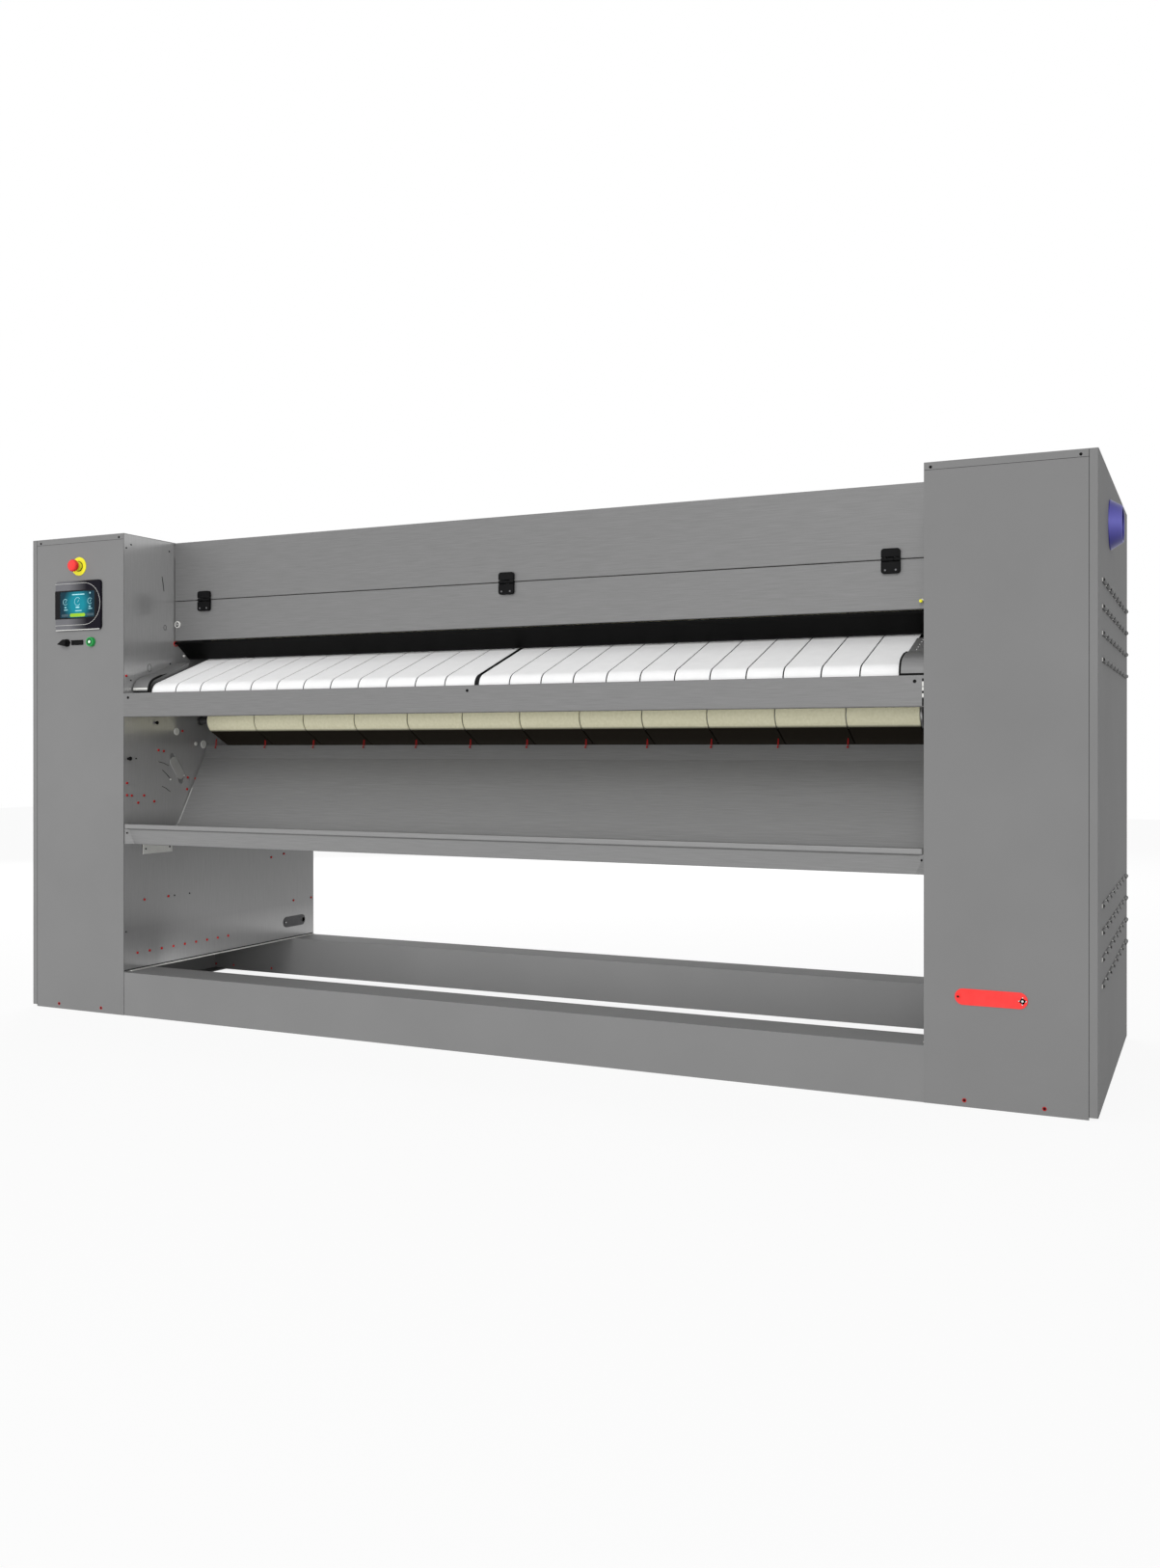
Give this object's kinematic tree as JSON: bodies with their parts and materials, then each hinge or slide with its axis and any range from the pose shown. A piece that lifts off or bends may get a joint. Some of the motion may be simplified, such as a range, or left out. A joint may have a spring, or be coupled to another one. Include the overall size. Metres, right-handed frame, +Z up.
{
  "type": "flatwork_ironer",
  "caption": "Free-standing flatwork ironer: heated cylinder with ironing belts, belted feed table, hood, front tray and two end towers with touch panel",
  "frame": {"origin": "On the floor, at the middle of the machine's width and depth", "axes": "+X along the machine to the right seen from the feed side, +Y from the feed side to the rear, +Z up"},
  "size_m": [3.367, 1.102, 1.55],
  "materials": {
    "panel_paint": "fine-texture grey powder coat",
    "frame_paint": "dark grey powder coat",
    "polished_sheet": "satin stainless sheet",
    "bright_steel": "bright plated steel",
    "roller_steel": "ground steel",
    "guard_black": "satin black paint",
    "feed_belting": "white woven belting",
    "ironing_belting": "cream needled felt belting",
    "machined_iron": "machined iron",
    "chain_steel": "oiled roller chain",
    "heater_steel": "heat-tinted steel tube",
    "motor_paint": "blue-grey machine enamel",
    "galvanised": "galvanised sheet",
    "blue_plastic": "moulded blue plastic",
    "bezel_plastic": "grey moulded bezel",
    "screen_glass": "glossy display window",
    "signal_yellow": "yellow plastic disc",
    "signal_red": "red moulded plastic",
    "lamp_green": "translucent lit cap",
    "black_plastic": "black moulded plastic",
    "switch_red": "red rotary handle"
  },
  "bodies": {
    "root": {"bearing_plates": "frame_paint", "button_collars": "bright_steel", "cable_gland": "bright_steel", "collection_tray": "polished_sheet", "cylinder_bearings": "machined_iron", "drive_chain": "chain_steel", "end_shrouds": "polished_sheet", "fan_cowl": "blue_plastic", "fan_housing": "galvanised", "feed_belts": "feed_belting", "feed_table": "polished_sheet", "front_beam": "frame_paint", "front_crossbar": "polished_sheet", "gear_motor": "motor_paint", "heater_bundle": "heater_steel", "hinge_upper_leaves": "black_plastic", "hood_rails": "frame_paint", "hood_upper_panel": "polished_sheet", "ironing_belts": "ironing_belting", "left_front_panel": "panel_paint", "left_inner_wall": "polished_sheet", "left_side_panel": "panel_paint", "rear_beam": "frame_paint", "rear_cover": "panel_paint", "rear_panels": "panel_paint", "right_front_panel": "panel_paint", "right_inner_wall": "polished_sheet", "right_side_panel": "panel_paint", "roller_axles": "machined_iron", "side_beams": "frame_paint", "stop_plate": "signal_yellow", "switchgear": "galvanised", "top_covers": "panel_paint", "touch_glass": "screen_glass", "touch_panel": "bezel_plastic", "tower_frames": "frame_paint", "tray_brackets": "polished_sheet"},
    "cylinder": {"cylinder_shell": "roller_steel", "cylinder_ends": "roller_steel", "cylinder_wheel": "machined_iron"},
    "nip": {"nip_roller": "roller_steel"},
    "front_return": {"front_return_roller": "roller_steel"},
    "rear_low": {"rear_low_roller": "roller_steel"},
    "rear_up": {"rear_up_roller": "roller_steel"},
    "top_front": {"top_front_roller": "roller_steel"},
    "feed_front": {"feed_front_roller": "roller_steel"},
    "feed_rear": {"feed_rear_roller": "roller_steel"},
    "motor_sprocket": {"motor_wheel": "machined_iron"},
    "impeller": {"fan_impeller": "galvanised"},
    "guard": {"finger_guard": "guard_black"},
    "flap": {"hood_flap": "polished_sheet", "hinge_lower_leaves": "black_plastic"},
    "lock": {"flap_lock": "bright_steel"},
    "stop": {"stop_button": "signal_red"},
    "start": {"start_button": "lamp_green"},
    "selector": {"selector_knob": "black_plastic"},
    "usb": {"usb_cap": "black_plastic"},
    "crank_flap": {"crank_cover": "signal_red"},
    "wall_flap": {"wall_cover": "black_plastic"},
    "isolator": {"main_switch": "switch_red"}
  },
  "joints": [
    {"name": "cylinder_spin", "type": "hinge", "parent": "root", "child": "cylinder", "pos_m": [0, 0.1575, 1.165], "axis": [1, 0, 0], "continuous": true},
    {"name": "nip_spin", "type": "hinge", "parent": "root", "child": "nip", "pos_m": [0, -0.12948, 1.24189], "axis": [1, 0, 0], "continuous": true},
    {"name": "front_return_spin", "type": "hinge", "parent": "root", "child": "front_return", "pos_m": [0, -0.149, 0.9525], "axis": [1, 0, 0], "continuous": true},
    {"name": "rear_low_spin", "type": "hinge", "parent": "root", "child": "rear_low", "pos_m": [0, 0.4135, 0.652], "axis": [1, 0, 0], "continuous": true},
    {"name": "rear_up_spin", "type": "hinge", "parent": "root", "child": "rear_up", "pos_m": [0, 0.4405, 1.43], "axis": [1, 0, 0], "continuous": true},
    {"name": "top_front_spin", "type": "hinge", "parent": "root", "child": "top_front", "pos_m": [0, -0.0925, 1.44], "axis": [1, 0, 0], "continuous": true},
    {"name": "feed_front_spin", "type": "hinge", "parent": "root", "child": "feed_front", "pos_m": [0, -0.4195, 1.036], "axis": [1, 0, 0], "continuous": true},
    {"name": "feed_rear_spin", "type": "hinge", "parent": "root", "child": "feed_rear", "pos_m": [0, -0.1316, 1.1461], "axis": [1, 0, 0], "continuous": true},
    {"name": "motor_sprocket_spin", "type": "hinge", "parent": "root", "child": "motor_sprocket", "pos_m": [0, 0.1575, 0.264], "axis": [1, 0, 0], "continuous": true},
    {"name": "impeller_spin", "type": "hinge", "parent": "root", "child": "impeller", "pos_m": [0, 0.3045, 1.365], "axis": [1, 0, 0], "continuous": true},
    {"name": "guard_swing", "type": "hinge", "parent": "root", "child": "guard", "pos_m": [0, -0.2675, 1.212], "axis": [1, 0, 0], "range_deg": [0, 15]},
    {"name": "flap_lift", "type": "hinge", "parent": "root", "child": "flap", "pos_m": [0, -0.2765, 1.352], "axis": [-1, 0, 0], "range_deg": [0, 100]},
    {"name": "lock_turn", "type": "hinge", "parent": "flap", "child": "lock", "pos_m": [-1.255, -0.2775, 1.274], "axis": [0, 1, 0], "range_deg": [0, 90]},
    {"name": "stop_push", "type": "slide", "parent": "root", "child": "stop", "axis": [0, 1, 0], "range_m": [0, 0.006], "stiffness_N_per_m": 1000},
    {"name": "start_push", "type": "slide", "parent": "root", "child": "start", "axis": [0, 1, 0], "range_m": [0, 0.004], "stiffness_N_per_m": 800},
    {"name": "selector_turn", "type": "hinge", "parent": "root", "child": "selector", "pos_m": [-1.51, -0.5075, 1.205], "axis": [0, 1, 0], "range_deg": [0, 90]},
    {"name": "usb_lift", "type": "hinge", "parent": "root", "child": "usb", "pos_m": [-1.468, -0.5105, 1.211], "axis": [-1, 0, 0], "range_deg": [0, 100]},
    {"name": "crank_cover_swing", "type": "hinge", "parent": "root", "child": "crank_flap", "pos_m": [1.3528, -0.5075, 0.264], "axis": [0, -1, 0], "range_deg": [0, 90]},
    {"name": "wall_cover_swing", "type": "hinge", "parent": "root", "child": "wall_flap", "pos_m": [-1.271, 0.328, 0.2025], "axis": [1, 0, 0], "range_deg": [0, 90]},
    {"name": "isolator_turn", "type": "hinge", "parent": "root", "child": "isolator", "pos_m": [-1.47, 0.5075, 1.18], "axis": [0, 1, 0], "range_deg": [0, 90]}
  ],
  "couplings": [
    {"joint": "nip_spin", "follows": "cylinder_spin", "ratio": -6.25},
    {"joint": "front_return_spin", "follows": "cylinder_spin", "ratio": -6.1425},
    {"joint": "rear_low_spin", "follows": "cylinder_spin", "ratio": -6.25},
    {"joint": "rear_up_spin", "follows": "cylinder_spin", "ratio": -6.25},
    {"joint": "top_front_spin", "follows": "cylinder_spin", "ratio": -6.25},
    {"joint": "feed_front_spin", "follows": "cylinder_spin", "ratio": 7.1429},
    {"joint": "feed_rear_spin", "follows": "cylinder_spin", "ratio": 8.3333},
    {"joint": "motor_sprocket_spin", "follows": "cylinder_spin", "ratio": 3.2}
  ]
}
